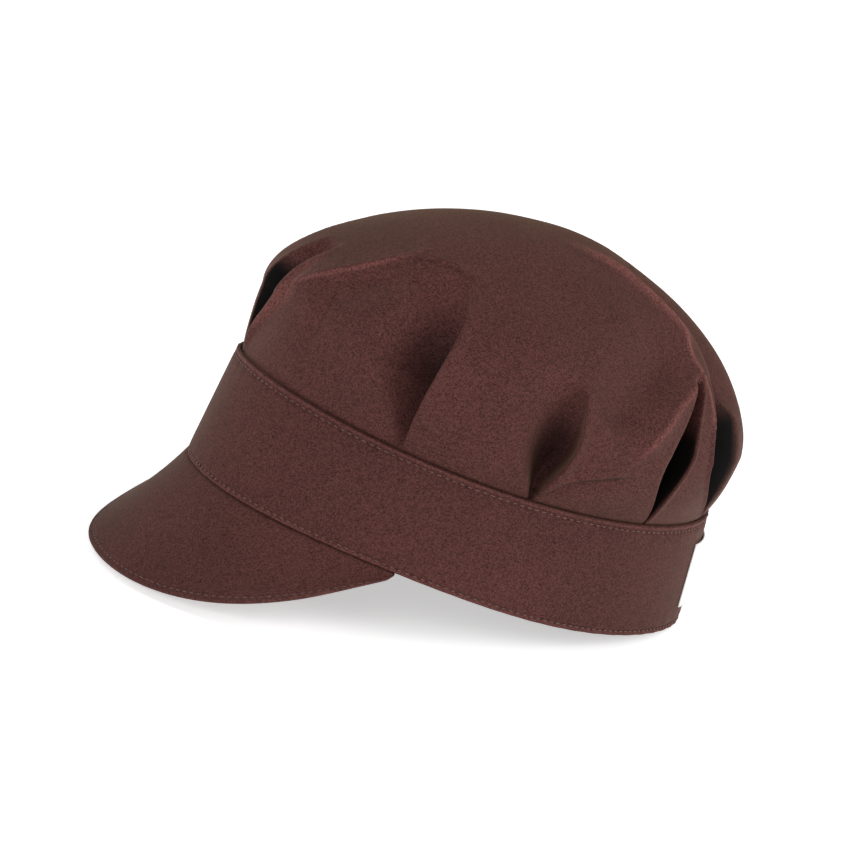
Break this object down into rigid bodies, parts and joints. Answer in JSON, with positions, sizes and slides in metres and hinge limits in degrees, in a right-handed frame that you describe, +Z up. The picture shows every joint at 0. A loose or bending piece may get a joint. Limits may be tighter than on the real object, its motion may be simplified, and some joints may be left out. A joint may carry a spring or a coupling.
{
  "type": "chef hat",
  "caption": "Soft cook's cap: a full cloth crown pleated into a stitched band, with a short stiffened peak and a small woven label.",
  "frame": {"origin": "middle of the resting hat's box, on the surface that it stands on", "axes": "+Z up, +Y towards the back of the hat, -Y towards the peak, +X towards the wearer's left"},
  "size_m": [0.1758, 0.2448, 0.1416],
  "materials": {
    "crown_cloth": "fine brown twill, soft sheen, pleated",
    "band_cloth": "fine brown twill, doubled and edge stitched",
    "peak_cloth": "fine brown twill over a stiffener, edge stitched",
    "label_tape": "white woven tape, unprinted"
  },
  "bodies": {
    "root": {"crown": "crown_cloth", "band": "band_cloth", "peak": "peak_cloth", "label": "label_tape"}
  },
  "joints": []
}
